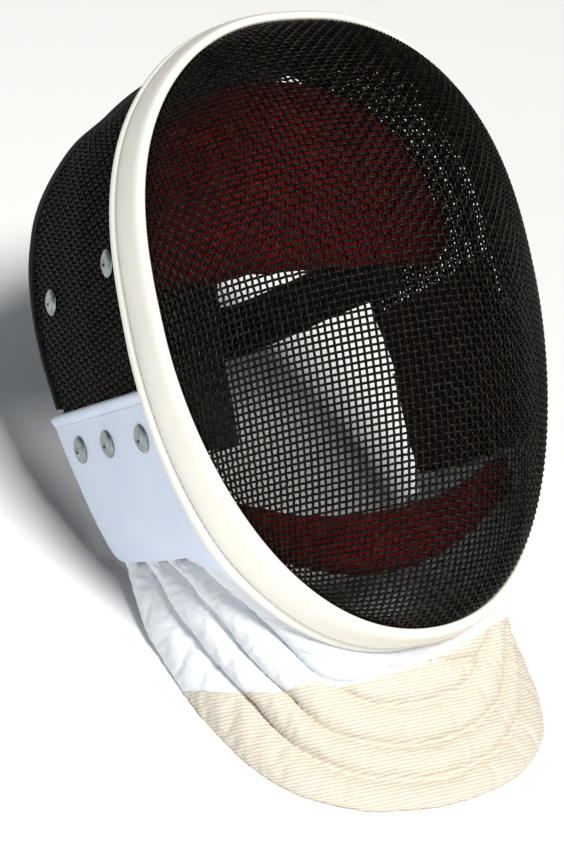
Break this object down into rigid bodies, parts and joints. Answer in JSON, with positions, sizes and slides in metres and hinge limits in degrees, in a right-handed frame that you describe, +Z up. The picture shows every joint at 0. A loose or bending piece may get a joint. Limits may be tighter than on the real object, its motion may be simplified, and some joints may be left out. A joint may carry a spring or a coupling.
{
  "type": "fencing mask",
  "caption": "Fencing mask with a domed black wire face, cream padded rim, white riveted jaw band, quilted white and cream throat bib, inner pads and a spring tongue behind the head",
  "frame": {"origin": "centre of the bounding box on the surface that the mask stands on", "axes": "+X to the wearer's left, -Y the way the mask faces, +Z up; the mask leans back 47.7 degrees onto its bib and tongue"},
  "size_m": [0.2088, 0.3594, 0.2668],
  "materials": {
    "wire": "black painted woven steel wire",
    "piping": "black bound edge",
    "cream_vinyl": "smooth padded vinyl",
    "white_vinyl": "smooth vinyl",
    "white_cloth": "quilted cloth",
    "cream_cloth": "fine ribbed cloth",
    "steel": "domed rivet heads",
    "red_pad": "cloth over foam",
    "dark_pad": "cloth over foam",
    "black_cloth": "cloth and elastic"
  },
  "bodies": {
    "root": {"front_mesh": "wire", "side_mesh": "wire", "rear_edging": "piping", "trim": "cream_vinyl", "jaw_band": "white_vinyl", "bib": "white_cloth", "bib_cover": "cream_cloth", "crown_pad": "red_pad", "chin_pad": "red_pad", "cheek_pad_left": "dark_pad", "cheek_pad_right": "dark_pad", "tongue": "black_cloth", "back_strap": "black_cloth", "tab_rivet_rear_right": "steel", "tab_rivet_middle_right": "steel", "tab_rivet_front_right": "steel", "mesh_rivet_front_right": "steel", "mesh_rivet_rear_right": "steel", "tongue_rivet_right": "steel", "tab_rivet_rear_left": "steel", "tab_rivet_middle_left": "steel", "tab_rivet_front_left": "steel", "mesh_rivet_front_left": "steel", "mesh_rivet_rear_left": "steel", "tongue_rivet_left": "steel"}
  },
  "joints": []
}
